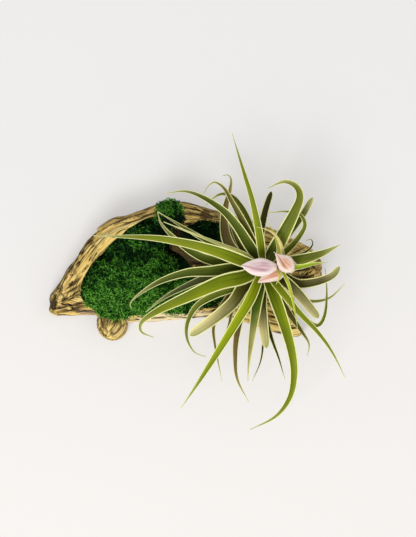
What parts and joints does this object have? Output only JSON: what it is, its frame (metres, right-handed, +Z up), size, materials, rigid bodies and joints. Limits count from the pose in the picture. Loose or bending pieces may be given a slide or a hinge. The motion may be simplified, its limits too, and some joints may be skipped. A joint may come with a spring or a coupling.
{
  "type": "air plant holder",
  "caption": "Hollow piece of driftwood with a flat foot, filled with preserved moss, and an air plant with pink bracts whose stem lifts out of a socket in the wood.",
  "frame": {"origin": "on the flat underside of the driftwood, under the middle of its hollow", "axes": "+X along the wood towards the plant, +Y from the low front rim to the high back rim, +Z up"},
  "size_m": [0.2649, 0.265, 0.0994],
  "materials": {
    "driftwood": "weathered, ochre with dark brown grooves",
    "pad": "coarse felt",
    "moss": "matt, curled strands",
    "stem": "matt",
    "leaf": "satin, pale margins",
    "young_leaf": "satin",
    "dried_leaf": "dry, fibrous",
    "bract": "soft matt, veined"
  },
  "bodies": {
    "holder": {"driftwood": "driftwood", "pad": "pad", "moss_left": "moss", "moss_middle": "moss", "moss_back": "moss", "moss_right": "moss", "moss_rear": "moss", "moss_spill": "moss", "moss_top": "moss", "moss_front": "moss"},
    "air_plant": {"stem": "stem", "leaf_01": "leaf", "leaf_02": "leaf", "leaf_03": "leaf", "leaf_04": "leaf", "leaf_05": "leaf", "leaf_06": "leaf", "leaf_07": "leaf", "leaf_08": "leaf", "leaf_09": "leaf", "leaf_10": "leaf", "leaf_11": "leaf", "leaf_12": "leaf", "leaf_13": "leaf", "leaf_14": "leaf", "leaf_15": "leaf", "leaf_16": "leaf", "leaf_17": "leaf", "leaf_18": "leaf", "leaf_19": "leaf", "leaf_20": "leaf", "leaf_21": "leaf", "leaf_22": "leaf", "leaf_23": "leaf", "leaf_24": "leaf", "leaf_25": "leaf", "leaf_26": "leaf", "leaf_27": "leaf", "leaf_28": "leaf", "leaf_29": "leaf", "leaf_30": "leaf", "leaf_31": "leaf", "leaf_32": "leaf", "leaf_33": "leaf", "leaf_34": "leaf", "leaf_35": "leaf", "dried_leaf": "dried_leaf", "young_leaf_1": "young_leaf", "young_leaf_2": "young_leaf", "young_leaf_3": "young_leaf", "young_leaf_4": "young_leaf", "young_leaf_5": "young_leaf", "bract_left": "bract", "bract_front": "bract", "bract_top": "bract", "bract_right": "bract", "scape": "stem"}
  },
  "joints": [
    {"name": "lift_out", "type": "slide", "parent": "holder", "child": "air_plant", "axis": [0, 0, 1], "range_m": [0, 0.12]}
  ]
}
